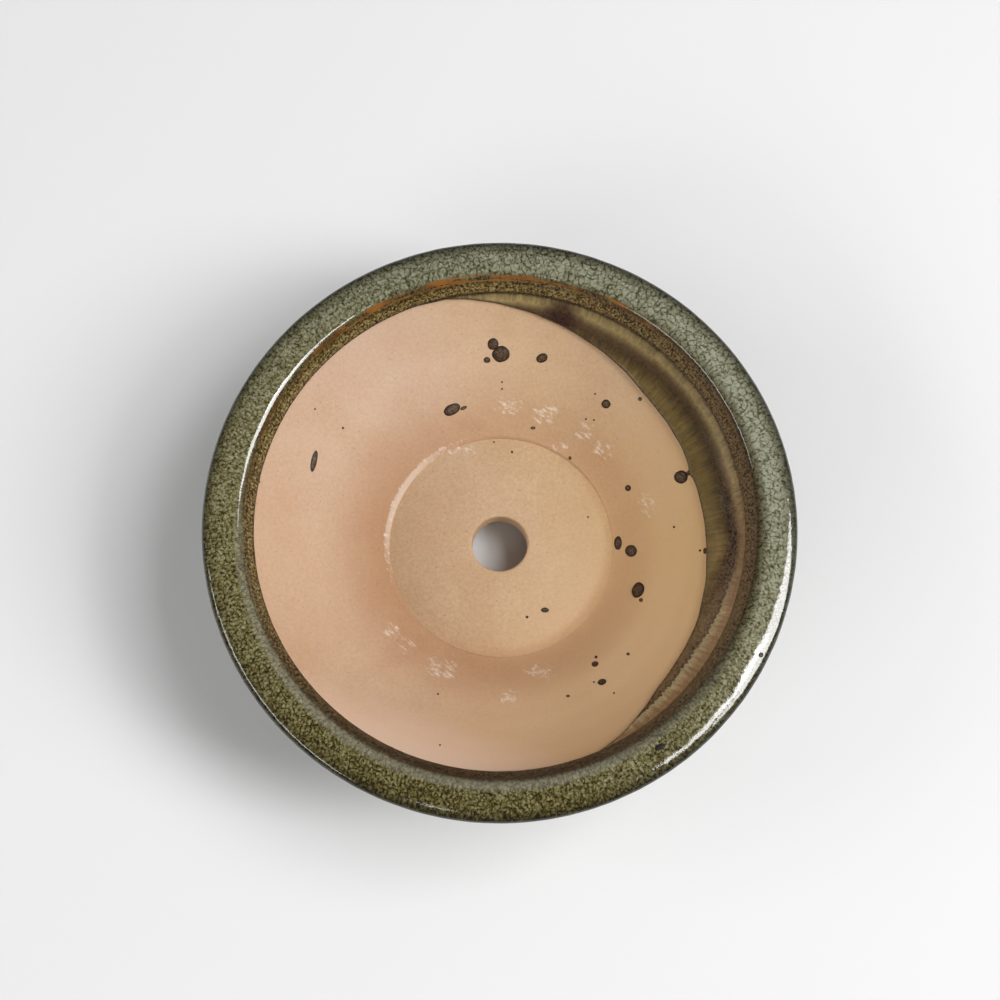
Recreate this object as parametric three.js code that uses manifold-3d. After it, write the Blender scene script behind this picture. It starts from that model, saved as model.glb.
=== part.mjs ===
// Round bonsai pot: a shallow stoneware bowl with a rolled lip, a floor slab with one drain hole,
// three feet, and a coat of glaze over the outside, the lip and one side of the inside.
// Millimetres, +Z up. The origin is on the table, under the middle of the pot.
import * as THREE from 'three';
import { mergeVertices } from 'three/addons/utils/BufferGeometryUtils.js';
import Module from 'manifold-3d';

// The whole pot, measured over its glaze
const potDiameter = 200;
const potHeight = 58;

// Lip ring, in bare clay: run is measured across, drop is measured down
const shoulderRun = 8.4; // crown to outer edge
const shoulderDrop = 2.4;
const arrisRun = 4; // crown to inner arris
const arrisDrop = 1.7;
const faceRun = 2.4; // inner arris to the crease at the lip's foot
const faceDrop = 5.3;

// Bowl wall
const wallThickness = 8.5; // at the neck, under the lip
const wallSag = 3.5; // how far the inside dips below a straight cone
const wallBelly = 3; // how far the outside swells past a straight cone
const baseDiameter = 106;
const baseRound = 1.6;

// Floor slab, set into the wall with a bevelled edge
const floorDiameter = 82;
const floorThickness = 8;
const floorDome = 1.5;
const floorEdgeRound = 1.1;
const seamBevel = 4;
const seamStep = 1.2; // the wall's bottom edge stands this much above the slab
const drainDiameter = 20;
const drainRound = 0.8;

// Feet
const footCount = 3;
const footHeight = 8;
const footWidth = 12; // across the base ring
const footLength = 30; // along the base ring
const footInset = 1.2; // back from the edge of the base
const footRound = 1;
const firstFootAngle = -90; // degrees, the front of the pot

// Slip between luted pieces
const luteGap = 0.3;

// Glaze coat: the pot was dipped mouth down, at a slant
const glazeGap = 0.3;
const glazeThickness = 0.8;
const bareFootBand = 4; // unglazed strip of the outside above the base
const dipLevel = 51.7; // height of the glaze line's plane on the axis
const dipTilt = 12.2; // degrees
const dipAzimuth = 18; // degrees, the side where the glaze runs deepest

// How finely curves are cut into flats
const turnSegments = 56;
const curveSteps = 5;
const arcSteps = 3; // an ellipse gets twice as many

// Points of the section: x is the distance from the axis, y is the height
const glazeBuild = glazeGap + glazeThickness;
const edge = new THREE.Vector2(potDiameter / 2 - glazeBuild, potHeight - glazeBuild - shoulderDrop);
const crown = new THREE.Vector2(edge.x - shoulderRun, edge.y + shoulderDrop);
const arris = new THREE.Vector2(crown.x - arrisRun, crown.y - arrisDrop);
const crease = new THREE.Vector2(arris.x - faceRun, arris.y - faceDrop);
const floorTop = footHeight + floorThickness;
const slabRadius = floorDiameter / 2;
const bevelSlope = seamBevel / floorThickness;
const seamTop = new THREE.Vector2(slabRadius + luteGap + bevelSlope * seamStep, floorTop + seamStep);
const seamBottom = new THREE.Vector2(slabRadius + luteGap - seamBevel, footHeight);
const baseEdge = new THREE.Vector2(baseDiameter / 2, footHeight);

// The side of a direction that faces right when walking along it
function rightOf(from, to) {
  const along = to.clone().sub(from).normalize();
  return new THREE.Vector2(along.y, -along.x);
}

// A curve from one point to another that bows out to the right by its rise
function bowedCurve(from, to, rise) {
  const control = from.clone().lerp(to, 0.5).addScaledVector(rightOf(from, to), 2 * rise);
  return new THREE.QuadraticBezierCurve(from, control, to);
}

const insideCurve = bowedCurve(seamTop, crease, wallSag);
const neck = crease.clone().addScaledVector(rightOf(insideCurve.v1, crease), wallThickness);
const outsideCurve = bowedCurve(baseEdge, neck, wallBelly);

function evenPoints(curve, start, steps) {
  const points = [];
  for (let i = 0; i <= steps; i += 1) {
    points.push(curve.getPointAt(THREE.MathUtils.lerp(start, 1, i / steps)));
  }
  return points;
}

// The lip's rounded outline, from the neck round the outer edge and the crown to the arris
function lipOutline() {
  const path = new THREE.Path();
  path.absellipse(neck.x, edge.y, edge.x - neck.x, edge.y - neck.y, -Math.PI / 2, 0, false);
  path.absellipse(crown.x, edge.y, edge.x - crown.x, crown.y - edge.y, 0, Math.PI / 2, false);
  path.quadraticCurveTo(crown.x - arrisRun / 2, crown.y, arris.x, arris.y);
  const points = path.getPoints(arcSteps);
  return points.filter((point, i) => i === 0 || point.distanceTo(points[i - 1]) > 1e-6);
}

// Moves an outline off the clay, to its right, keeping its corners square
function offsetOutline(outline, distance) {
  return outline.map((point, i) => {
    const before = i > 0 ? rightOf(outline[i - 1], point) : rightOf(point, outline[i + 1]);
    const after = i < outline.length - 1 ? rightOf(point, outline[i + 1]) : before;
    const reach = distance / (1 + before.dot(after));
    return point.clone().addScaledVector(before, reach).addScaledVector(after, reach);
  });
}

// Turns a closed outline, listed anticlockwise, about the pot's axis
function turned(outline) {
  const geometry = new THREE.LatheGeometry([...outline, outline[0]], turnSegments);
  return geometry.rotateX(Math.PI / 2);
}

const clayMaterial = new THREE.MeshStandardMaterial({ color: '#c9a88a', roughness: 0.9, metalness: 0 });
const slabMaterial = new THREE.MeshStandardMaterial({ color: '#c4a080', roughness: 0.92, metalness: 0 });
const glazeMaterial = new THREE.MeshStandardMaterial({ color: '#6b6a48', roughness: 0.18, metalness: 0 });

function named(name, geometry, material) {
  const mesh = new THREE.Mesh(geometry, material);
  mesh.name = name;
  return mesh;
}

// Bowl wall: flat base ring, swelling outside, joint face under the lip, dished inside, bevelled bore
function bowlWall() {
  const outside = evenPoints(outsideCurve, baseRound / outsideCurve.getLength(), curveSteps);
  const inside = evenPoints(insideCurve, 0, curveSteps).reverse();
  const baseFlat = new THREE.Vector2(baseEdge.x - baseRound, footHeight);
  return named('bowl_wall', turned([seamBottom, baseFlat, ...outside, ...inside]), clayMaterial);
}

// Lip ring: a rolled coil luted on to the wall's slanted top face
function lipRing() {
  const jointNormal = rightOf(neck, crease);
  const outline = [...lipOutline(), crease.clone()];
  outline[0].addScaledVector(jointNormal, luteGap);
  outline[outline.length - 1].addScaledVector(jointNormal, luteGap);
  return named('lip_ring', turned(outline), clayMaterial);
}

// Floor slab: a domed disc with a bevelled edge and the drain hole
function floorSlab() {
  const drain = drainDiameter / 2;
  const path = new THREE.Path();
  path.moveTo(drain, footHeight);
  path.lineTo(slabRadius - seamBevel, footHeight);
  path.lineTo(slabRadius - bevelSlope * floorEdgeRound, floorTop - floorEdgeRound);
  path.quadraticCurveTo(slabRadius, floorTop, slabRadius - floorEdgeRound, floorTop);
  path.quadraticCurveTo((slabRadius + drain) / 2, floorTop + floorDome, drain + drainRound, floorTop + floorDome);
  path.lineTo(drain, floorTop + floorDome - drainRound);
  return named('floor_slab', turned(path.getPoints(arcSteps)), slabMaterial);
}

// Foot: a curved block under the base ring, with rounded edges
function foot(index) {
  const outer = baseDiameter / 2 - footInset - footRound;
  const inner = outer - footWidth + 2 * footRound;
  const halfTurn = (footLength / 2 - footRound) / ((outer + inner) / 2);
  const plan = new THREE.Shape();
  plan.absarc(0, 0, outer, -halfTurn, halfTurn, false);
  plan.absarc(0, 0, inner, halfTurn, -halfTurn, true);
  const geometry = new THREE.ExtrudeGeometry(plan, {
    depth: footHeight - luteGap - 2 * footRound,
    bevelThickness: footRound,
    bevelSize: footRound,
    bevelSegments: 2,
    curveSegments: arcSteps,
  });
  const mesh = named(`foot_${index + 1}`, geometry, clayMaterial);
  mesh.position.z = footRound;
  mesh.rotation.z = THREE.MathUtils.degToRad(firstFootAngle + (360 * index) / footCount);
  return mesh;
}

const wasm = await Module();
wasm.setup();

function toSolid(geometry) {
  const bare = geometry.clone();
  bare.deleteAttribute('normal');
  bare.deleteAttribute('uv');
  const merged = mergeVertices(bare, 1e-4);
  const vertProperties = new Float32Array(merged.attributes.position.array);
  const triVerts = new Uint32Array(merged.index.array);
  return new wasm.Manifold(new wasm.Mesh({ numProp: 3, vertProperties, triVerts }));
}

function toGeometry(solid) {
  const { vertProperties, triVerts } = solid.getMesh();
  const geometry = new THREE.BufferGeometry();
  geometry.setAttribute('position', new THREE.BufferAttribute(vertProperties, 3));
  geometry.setIndex(new THREE.BufferAttribute(triVerts, 1));
  geometry.computeVertexNormals();
  return geometry;
}

// What the dip left bare: the hollow of the bowl below the crease and under the slanted glaze line
function bareInside() {
  const hollowFloor = new THREE.Vector2(drainDiameter / 2, seamTop.y);
  const hollowTop = new THREE.Vector2(drainDiameter / 2, crease.y);
  const hollow = turned([hollowFloor, ...evenPoints(insideCurve, 0, curveSteps), hollowTop]);
  const under = new THREE.BoxGeometry(2 * potDiameter, 2 * potDiameter, potDiameter);
  under.translate(0, 0, -potDiameter / 2);
  under.rotateY(THREE.MathUtils.degToRad(dipTilt));
  under.rotateZ(THREE.MathUtils.degToRad(dipAzimuth));
  under.translate(0, 0, dipLevel);
  return toSolid(hollow).intersect(toSolid(under));
}

// Glaze coat: a skin over the outside, the lip and the inside, less what the dip left bare
function glazeCoat() {
  const outside = evenPoints(outsideCurve, bareFootBand / outsideCurve.getLength(), curveSteps);
  const inside = evenPoints(insideCurve, 0, curveSteps).reverse();
  const clay = [...outside, ...lipOutline().slice(1), ...inside];
  const outer = offsetOutline(clay, glazeBuild);
  const inner = offsetOutline(clay, glazeGap).reverse();
  const skin = toSolid(turned([...outer, ...inner]));
  return named('glaze_coat', toGeometry(skin.subtract(bareInside())), glazeMaterial);
}

const pot = new THREE.Group();
pot.name = 'round_bonsai_pot';
pot.add(bowlWall(), lipRing(), floorSlab());
for (let i = 0; i < footCount; i += 1) {
  pot.add(foot(i));
}
pot.add(glazeCoat());

export default pot;
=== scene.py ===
import math
import random
from functools import partial
import bmesh
import bpy
from mathutils import Matrix, Vector, noise
from mathutils.bvhtree import BVHTree


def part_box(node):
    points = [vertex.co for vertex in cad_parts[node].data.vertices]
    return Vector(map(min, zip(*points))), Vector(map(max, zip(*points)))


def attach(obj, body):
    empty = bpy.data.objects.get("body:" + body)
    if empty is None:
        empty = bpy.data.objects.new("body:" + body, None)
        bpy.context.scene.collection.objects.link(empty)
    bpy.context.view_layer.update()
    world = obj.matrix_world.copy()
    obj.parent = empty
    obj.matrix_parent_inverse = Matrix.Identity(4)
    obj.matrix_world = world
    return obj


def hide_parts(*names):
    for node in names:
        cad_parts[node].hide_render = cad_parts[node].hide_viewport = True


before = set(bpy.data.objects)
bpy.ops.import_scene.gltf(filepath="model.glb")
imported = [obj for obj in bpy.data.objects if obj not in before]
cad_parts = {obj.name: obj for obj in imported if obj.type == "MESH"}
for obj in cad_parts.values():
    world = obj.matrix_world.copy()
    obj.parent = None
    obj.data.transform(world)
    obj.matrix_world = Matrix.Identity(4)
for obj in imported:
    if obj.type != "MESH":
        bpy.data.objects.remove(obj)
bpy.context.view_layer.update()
mm = 0.001
print("frame loaded:", sorted(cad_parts))


# Camera first: drops and scuffs are placed through it, by where they lie in the picture
shot = {
    "eye": (0.12, -119.31, 558.97),  # mm
    "aim": (0.12, 6.84, 54.5),
    "lens": 55.53,
    "sensor": 36.0,
    "picture": 1000,  # pixels across and down
}
cameraData = bpy.data.cameras.new("photo_camera")
cameraData.lens = shot["lens"]
cameraData.sensor_width = shot["sensor"]
camera = bpy.data.objects.new("photo_camera", cameraData)
bpy.context.scene.collection.objects.link(camera)
bpy.context.scene.camera = camera
eye = Vector(shot["eye"]) * mm
eyeTurn = (Vector(shot["aim"]) * mm - eye).to_track_quat("-Z", "Y")
camera.location = eye
camera.rotation_euler = eyeTurn.to_euler()
focal = shot["picture"] * shot["lens"] / shot["sensor"]  # pixels


def rayThrough(x, y):
    half = shot["picture"] / 2
    return (eyeTurn @ Vector((x - half, half - y, -focal))).normalized()


def pixelOf(point):
    seen = eyeTurn.inverted() @ (point - eye)
    half = shot["picture"] / 2
    return half - focal * seen.x / seen.z, half + focal * seen.y / seen.z


# The clay's section: x is out from the axis and z is up, y stays 0
clay = {
    "shoulderDrop": 2.4,  # mm, crown of the lip down to its outer edge
    "shoulderRun": 8.4,
    "arrisRun": 4.0,  # crown to the inner arris
    "arrisDrop": 1.7,
    "crownFlat": 0.72,  # share of that run that sets out level
    "faceRun": 2.4,  # inner arris to the crease under the lip
    "faceDrop": 5.3,
    "wallThickness": 8.5,
    "wallSag": 3.5,
    "wallBelly": 3.0,
    "baseRadius": 53.0,
    "baseRound": 1.6,
    "floorDome": 1.5,
    "seamBevel": 4.0,
    "seamStep": 1.2,  # the wall's bottom edge stands proud of the slab
    "seamLean": 0.6,  # and out from it
}
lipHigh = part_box("lip_ring")[1]
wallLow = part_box("bowl_wall")[0]
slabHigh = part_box("floor_slab")[1]


def across(x, z):
    return Vector((x, 0, z)) * mm


def onRing(radius, angle, height):
    return Vector((radius * math.cos(angle), radius * math.sin(angle), height))


def rightOf(along):
    return Vector((along.z, 0, -along.x)).normalized()


def parabolaAt(ends, share):
    first = ends[0].lerp(ends[1], share)
    second = ends[1].lerp(ends[2], share)
    return first.lerp(second, share), second - first


def quarterAt(ends, share):
    centre = ends[0] + ends[2] - ends[1]
    turn = share * math.pi / 2
    out = ends[0] - centre
    up = ends[2] - centre
    return centre + out * math.cos(turn) + up * math.sin(turn), up * math.cos(turn) - out * math.sin(turn)


def straightAt(ends, share):
    return ends[0].lerp(ends[1], share), ends[1] - ends[0]


def bowed(start, end, rise):
    corner = start.lerp(end, 0.5) + rightOf(end - start) * (2 * rise * mm)
    return start, corner, end


def rowsOf(curve, ends, count, first=0.0, last=1.0):
    return [curve(ends, first + (last - first) * i / count)[0] for i in range(count + 1)]


def smoothStep(value):
    held = min(max(value, 0), 1)
    return held * held * (3 - 2 * held)


lipEdge = Vector((lipHigh.x, 0, lipHigh.z - clay["shoulderDrop"] * mm))
crown = lipEdge + across(-clay["shoulderRun"], clay["shoulderDrop"])
arris = crown + across(-clay["arrisRun"], -clay["arrisDrop"])
crease = arris + across(-clay["faceRun"], -clay["faceDrop"])
baseHeight = wallLow.z
slabRadius = slabHigh.x
floorTop = slabHigh.z - clay["floorDome"] * mm
seamTop = Vector((slabRadius, 0, floorTop)) + across(clay["seamLean"], clay["seamStep"])
seamBottom = Vector((slabRadius, 0, baseHeight)) + across(-clay["seamBevel"], 0)
baseEdge = Vector((clay["baseRadius"] * mm, 0, baseHeight))
insideEnds = tuple(reversed(bowed(seamTop, crease, clay["wallSag"])))
neck = crease + rightOf(crease - insideEnds[1]) * (clay["wallThickness"] * mm)
outsideEnds = bowed(baseEdge, neck, clay["wallBelly"])
underEnds = (neck, Vector((lipEdge.x, 0, neck.z)), lipEdge)
shoulderEnds = (lipEdge, Vector((lipEdge.x, 0, crown.z)), crown)
crownEnds = (crown, crown + across(-clay["arrisRun"] * clay["crownFlat"], 0), arris)
faceEnds = (arris, crease)


def lengthOf(rows):
    return sum((b - a).length for a, b in zip(rows, rows[1:])) / mm


measureRows = 60  # rows that a curve is measured with
insideLength = lengthOf(rowsOf(parabolaAt, insideEnds, measureRows))
outsideLength = lengthOf(rowsOf(parabolaAt, outsideEnds, measureRows))


# Materials
def hexColour(code):
    shares = [int(code[i:i + 2], 16) / 255 for i in (1, 3, 5)]
    linear = [s / 12.92 if s <= 0.04045 else ((s + 0.055) / 1.055) ** 2.4 for s in shares]
    return (*linear, 1)


def perMetre(size):
    return 1 / (size * mm)  # texture scale for a feature of that many millimetres


# A source is an output, or a node, which then stands for its first live output
def linkInto(node, links):
    for key, source in links.items():
        target = [s for s in node.inputs if key in (s.identifier, s.name)][0]
        if isinstance(source, bpy.types.Node):
            source = [s for s in source.outputs if s.enabled][0]
        node.id_data.links.new(source, target)


def addNode(tree, kind, settings, links=None):
    node = tree.nodes.new("ShaderNode" + kind)
    for key, value in settings.items():
        sockets = [s for s in node.inputs if key in (s.identifier, s.name)]
        if sockets and not hasattr(node, key):
            sockets[0].default_value = value
        else:
            setattr(node, key, value)
    linkInto(node, links or {})
    return node


def newMaterial(name, roughness, ior):
    material = bpy.data.materials.new(name)
    material.use_nodes = True
    shader = material.node_tree.nodes["Principled BSDF"]
    shader.inputs["Roughness"].default_value = roughness
    shader.inputs["IOR"].default_value = ior
    return material, shader


def fillRamp(ramp, stops):
    while len(ramp.elements) < len(stops):
        ramp.elements.new(0.5)
    for element, (place, colour) in zip(ramp.elements, stops):
        element.position = place
        element.color = hexColour(colour)


# Settings that nodes mixing two colours share
blended = {"data_type": "RGBA"}
multiplied = blended | {"blend_type": "MULTIPLY"}


# Bisque-fired stoneware: dead matt and pinkish, clouded by the fire, sandy up close, with a few dark specks
def bisqueStoneware(name, look):
    material, shader = newMaterial(name, look["roughness"], ior=1.5)
    add = partial(addNode, material.node_tree)
    spot = add("TexCoord", {}).outputs["Object"]
    clouds = add("TexNoise", {"Scale": perMetre(24), "Detail": 4}, {"Vector": spot})
    cloudRamp = add("ValToRGB", {}, {"Fac": clouds})
    fillRamp(cloudRamp.color_ramp, list(zip(look["cloudPlaces"], look["clouds"])))
    grain = add("TexNoise", {"Scale": perMetre(1.1), "Detail": 5, "Roughness": 0.7}, {"Vector": spot})
    grainLight = add(
        "MapRange",
        {"From Min": 0.3, "From Max": 0.7, "To Min": 1 - look["grain"], "To Max": 1 + look["grain"]},
        {"Value": grain})
    grained = add("Mix", multiplied | {"Factor_Float": 1.0}, {"A_Color": cloudRamp, "B_Color": grainLight})
    # Iron specks in the body, one in about 3 mm
    specks = add("TexVoronoi", {"Scale": perMetre(3.2)}, {"Vector": spot})
    speckMask = add(
        "MapRange", {"From Min": 0.05, "From Max": 0.1, "To Min": 0.55, "To Max": 0.0}, {"Value": specks})
    speckled = add(
        "Mix", blended | {"B_Color": hexColour(look["speck"])},
        {"Factor_Float": speckMask, "A_Color": grained})
    # Chalky scuffs where the piece marks them: scratches up to a mark of 1, and rubbed all over above that
    scuffMark = add("Attribute", {"attribute_name": "scuff"}).outputs["Fac"]
    slanted = add(
        "Mapping", {"vector_type": "TEXTURE", "Rotation": (0, 0, -0.7), "Scale": (2.4, 1, 1)},
        {"Vector": spot})
    scratches = add(
        "TexNoise", {"Scale": perMetre(1.3), "Detail": 5, "Roughness": 0.75}, {"Vector": slanted})
    scratchMark = add("MapRange", {"To Max": 0.22}, {"Value": scuffMark})
    scratched = add("Math", {"operation": "ADD"}, {"Value": scratchMark, "Value_001": scratches})
    scratchMask = add("MapRange", {"From Min": 0.7, "From Max": 0.88, "To Max": 0.66}, {"Value": scratched})
    rubbed = add("MapRange", {"From Min": 1.0, "From Max": 2.0, "To Max": 0.38}, {"Value": scuffMark})
    scuffed = add("Math", {"operation": "MAXIMUM"}, {"Value": scratchMask, "Value_001": rubbed})
    # Painted light makes the clay lighter and warmer towards +X and -Y, where it lies in shade, the warmth
    # from the fire;
    # pinker towards -X and -Y, yellower towards +X and +Y, and painted lighter under the lip at -Y against
    # its shadow
    tinted = speckled
    for tint, blend, way, low, high in (
            ("toastAndPaintedLight", "MIX", (0.87, -0.5, 0), 5, 75), ("blush", "MULTIPLY", (-0.6, -0.8, 0), -30, 60),
            ("ochre", "MULTIPLY", (0.8, 0.6, 0), 5, 45), ("paintedLightUnderLip", "MIX", (-0.3, -0.95, 0), 66, 84)):
        tintWay = add("VectorMath", {"operation": "DOT_PRODUCT", "Vector_001": way}, {"Vector": spot})
        tintShare = add("MapRange", {"From Min": low * mm, "From Max": high * mm}, {"Value": tintWay})
        tinted = add(
            "Mix", blended | {"blend_type": blend, "B_Color": hexColour(look[tint])},
            {"Factor_Float": tintShare, "A_Color": tinted})
    # Orange fire flash by the seam, darkened there as painted shade in its valley
    flash = add("Attribute", {"attribute_name": "flash"}).outputs["Fac"]
    flashedAndShaded = add(
        "Mix", multiplied | {"B_Color": hexColour(look["flash"])},
        {"Factor_Float": flash, "A_Color": tinted})
    coloured = add(
        "Mix", blended | {"B_Color": hexColour(look["scuff"])},
        {"Factor_Float": scuffed, "A_Color": flashedAndShaded})
    bump = add("Bump", {"Strength": look["bump"], "Distance": 0.25 * mm}, {"Height": grain})
    linkInto(shader, {"Base Color": coloured, "Normal": bump})
    return material


# Crackled celadon-type glaze: glassy, pale islands between dark crazing, amber where an edge draws it thin,
# and below the lip a smooth run of tan, brown and olive streaks, the tan partly a painted reflection of the
# clay opposite
def crackledGlaze(name, look):
    material, shader = newMaterial(name, look["roughness"], ior=1.6)
    add = partial(addNode, material.node_tree)
    spot = add("TexCoord", {}).outputs["Object"]
    drawn = add("Attribute", {"attribute_name": "drawn"}).outputs["Vector"]
    along = add("Attribute", {"attribute_name": "along"}).outputs["Fac"]
    brink = add("Attribute", {"attribute_name": "brink"}).outputs["Fac"]
    flow = add("Attribute", {"attribute_name": "flow"}).outputs["Fac"]
    place = add("SeparateXYZ", {}, {"Vector": spot})
    # Crazing: pale cells between dark cracks towards +X and +Y, closing to a fine mottle on the other side
    wander = add("TexNoise", {"Scale": perMetre(1.3), "Detail": 2}, {"Vector": drawn})
    wanderVector = add(
        "VectorMath", {"operation": "SCALE", "Scale": 0.9 * mm}, {"Vector": wander.outputs["Color"]})
    crazePlace = add("VectorMath", {"operation": "ADD"}, {"Vector": drawn, "Vector_001": wanderVector})
    mottle = add(
        "TexNoise", {"Scale": perMetre(look["mottle"]), "Detail": 3, "Roughness": 0.6}, {"Vector": drawn})
    mottleTone = add("MapRange", {"From Min": 0.34, "From Max": 0.66}, {"Value": mottle})
    crackTones = []
    for cell, deepest in ((look["closeCell"], 0.0), (look["openCell"], 0.22)):
        cracks = add(
            "TexVoronoi", {"feature": "DISTANCE_TO_EDGE", "Scale": perMetre(cell)}, {"Vector": crazePlace})
        ragged = add(
            "Math", {"operation": "MULTIPLY_ADD", "Value_001": 0.24},
            {"Value": mottle, "Value_002": cracks})
        crackTone = add(
            "MapRange", {"From Min": 0.12, "From Max": 0.25, "To Min": deepest}, {"Value": ragged})
        crackTones.append(crackTone)
    closeTone = add(
        "Mix", {"data_type": "FLOAT", "Factor_Float": 0.6},
        {"A_Float": crackTones[0], "B_Float": mottleTone})
    cellTint = add("TexVoronoi", {"Scale": perMetre(look["openCell"])}, {"Vector": crazePlace})
    cellShade = add("MapRange", {"To Min": 0.72}, {"Value": cellTint.outputs["Color"]})
    cellFill = add("Math", {"operation": "MULTIPLY"}, {"Value": crackTones[1], "Value_001": cellShade})
    openTone = add(
        "Mix", {"data_type": "FLOAT", "Factor_Float": 0.42}, {"A_Float": cellFill, "B_Float": mottleTone})
    openWay = add("VectorMath", {"operation": "DOT_PRODUCT", "Vector_001": (4.2, 6.3, 0)}, {"Vector": spot})
    openSide = add("Math", {"operation": "ADD", "Value_001": 0.5}, {"Value": openWay})
    openCrown = add(
        "MapRange", {"From Min": -0.8, "From Max": 0.6, "To Min": 1.0, "To Max": 0.0}, {"Value": along})
    opening = add("Math", {"operation": "MULTIPLY"}, {"Value": openSide, "Value_001": openCrown})
    islandTone = add(
        "Mix", {"data_type": "FLOAT"}, {"Factor_Float": opening, "A_Float": closeTone, "B_Float": openTone})
    # Patches, and paler towards +X and +Y as a painted sheen
    patches = add("TexNoise", {"Scale": perMetre(7), "Detail": 4}, {"Vector": spot})
    patchTone = add(
        "MapRange",
        {"From Min": 0.3, "From Max": 0.7, "To Min": look["tone"] - 0.08, "To Max": look["tone"] + 0.08},
        {"Value": patches})
    paleSheenSide = add(
        "VectorMath", {"operation": "DOT_PRODUCT", "Vector_001": look["paleSheenWay"]}, {"Vector": spot})
    paleSheened = add("Math", {"operation": "ADD"}, {"Value": patchTone, "Value_001": paleSheenSide})
    farSide = add("Math", {"operation": "POWER", "Value_001": 2.0}, {"Value": place.outputs["Y"]})
    deepened = add(
        "Math", {"operation": "MULTIPLY_ADD", "Value_001": look["deepWay"]},
        {"Value": farSide, "Value_002": paleSheened})
    cellTone = add(
        "Math", {"operation": "MULTIPLY_ADD", "Value_001": look["contrast"]},
        {"Value": islandTone, "Value_002": deepened})
    cellRamps = []
    for cellColours in (look["cells"], look["coolCells"]):
        cellRamp = add("ValToRGB", {}, {"Fac": cellTone})
        fillRamp(cellRamp.color_ramp, cellColours)
        cellRamps.append(cellRamp)
    cellColour = add(
        "Mix", blended, {"Factor_Float": opening, "A_Color": cellRamps[0], "B_Color": cellRamps[1]})
    # Along the section, in millimetres from the arris: outside wall, outer edge, crown, arris, face
    sectionPlace = add(
        "MapRange", {"From Min": look["sectionStart"], "From Max": look["sectionEnd"]}, {"Value": along})
    span = look["sectionEnd"] - look["sectionStart"]
    depths = []
    for sectionTints in (look["brownTints"], look["tints"]):
        depth = add("ValToRGB", {}, {"Fac": sectionPlace})
        fillRamp(depth.color_ramp, [((p - look["sectionStart"]) / span, c) for p, c in sectionTints])
        depths.append(depth)
    greenWay = add(
        "VectorMath", {"operation": "DOT_PRODUCT", "Vector_001": (-7.4, 7.4, 0)}, {"Vector": spot})
    greenSide = add("Math", {"operation": "ADD", "Value_001": 0.5}, {"Value": greenWay})
    depthTint = add("Mix", blended, {"Factor_Float": greenSide, "A_Color": depths[0], "B_Color": depths[1]})
    tinted = add("Mix", multiplied | {"Factor_Float": 1.0}, {"A_Color": cellColour, "B_Color": depthTint})
    edgeShade = add("MapRange", {"From Min": -13.0, "From Max": -8.0, "To Min": 0.45}, {"Value": along})
    shaded = add("Mix", multiplied, {"Factor_Float": opening, "A_Color": tinted, "B_Color": edgeShade})
    # Painted sheen just outside the arris on the -X and -Y side, drawn further out towards -Y
    paintedSheenPlace = add(
        "Math", {"operation": "MULTIPLY_ADD", "Value_001": -13.3},
        {"Value": place.outputs["Y"], "Value_002": along})
    paintedSheenStart = add("MapRange", {"From Min": -3.5, "From Max": -2.2, "To Max": 0.5}, {"Value": paintedSheenPlace})
    paintedSheenEnd = add(
        "MapRange", {"From Min": -0.7, "From Max": 0.6, "To Min": 1.0, "To Max": 0.0}, {"Value": paintedSheenPlace})
    paintedSheenWay = add(
        "VectorMath", {"operation": "DOT_PRODUCT", "Vector_001": (-6.0, -14.3, 0)}, {"Vector": spot})
    paintedSheenSide = add("MapRange", {}, {"Value": paintedSheenWay})
    paintedSheenBand = add("Math", {"operation": "MULTIPLY"}, {"Value": paintedSheenStart, "Value_001": paintedSheenEnd})
    paintedSheenShare = add("Math", {"operation": "MULTIPLY"}, {"Value": paintedSheenBand, "Value_001": paintedSheenSide})
    paintedSheenTone = add("MapRange", {"To Min": 0.55, "To Max": 1.3}, {"Value": islandTone})
    paintedSheenColour = add(
        "Mix", multiplied | {"Factor_Float": 1.0, "A_Color": hexColour(look["paintedSheen"])},
        {"B_Color": paintedSheenTone})
    sheenPainted = add("Mix", blended, {"Factor_Float": paintedSheenShare, "A_Color": shaded, "B_Color": paintedSheenColour})
    # The face under the arris darkens and dulls towards -Y
    faceShade = add(
        "MapRange", {"From Min": -84 * mm, "From Max": -25 * mm, "To Min": 0.42},
        {"Value": place.outputs["Y"]})
    faceSpeck = add("MapRange", {"To Min": 0.4, "To Max": 1.5}, {"Value": mottleTone})
    faceTone = add("Math", {"operation": "MULTIPLY"}, {"Value": faceShade, "Value_001": faceSpeck})
    faceMask = add("MapRange", {"From Min": -1.4, "From Max": 0.6}, {"Value": along})
    faced = add("Mix", multiplied, {"Factor_Float": faceMask, "A_Color": sheenPainted, "B_Color": faceTone})
    faceGlare = add(
        "Math", {"operation": "MULTIPLY", "use_clamp": True}, {"Value": faceTone, "Value_001": faceTone})
    glared = add(
        "Mix", {"data_type": "FLOAT", "A_Float": 0.5}, {"Factor_Float": faceMask, "B_Float": faceGlare})
    # Amber where the arris draws the glaze thin: wide and orange at +Y, thin and red elsewhere, gone at -Y
    breaks = add("TexNoise", {"Scale": perMetre(11), "Detail": 5}, {"Vector": spot})
    arrisOff = add(
        "Math", {"operation": "MULTIPLY_ADD", "Value_001": 1.6, "Value_002": -0.2}, {"Value": breaks})
    arrisPlace = add("Math", {"operation": "ADD"}, {"Value": along, "Value_001": arrisOff})
    arrisFar = add("Math", {"operation": "ABSOLUTE"}, {"Value": arrisPlace})
    amberWidth = add(
        "MapRange", {"From Min": 10 * mm, "From Max": 80 * mm, "To Min": 0.5, "To Max": 1.3},
        {"Value": place.outputs["Y"]})
    amberEdge = add("Math", {"operation": "SUBTRACT"}, {"Value": amberWidth, "Value_001": arrisFar})
    amberMask = add("MapRange", {"From Max": 0.4}, {"Value": amberEdge})
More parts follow.
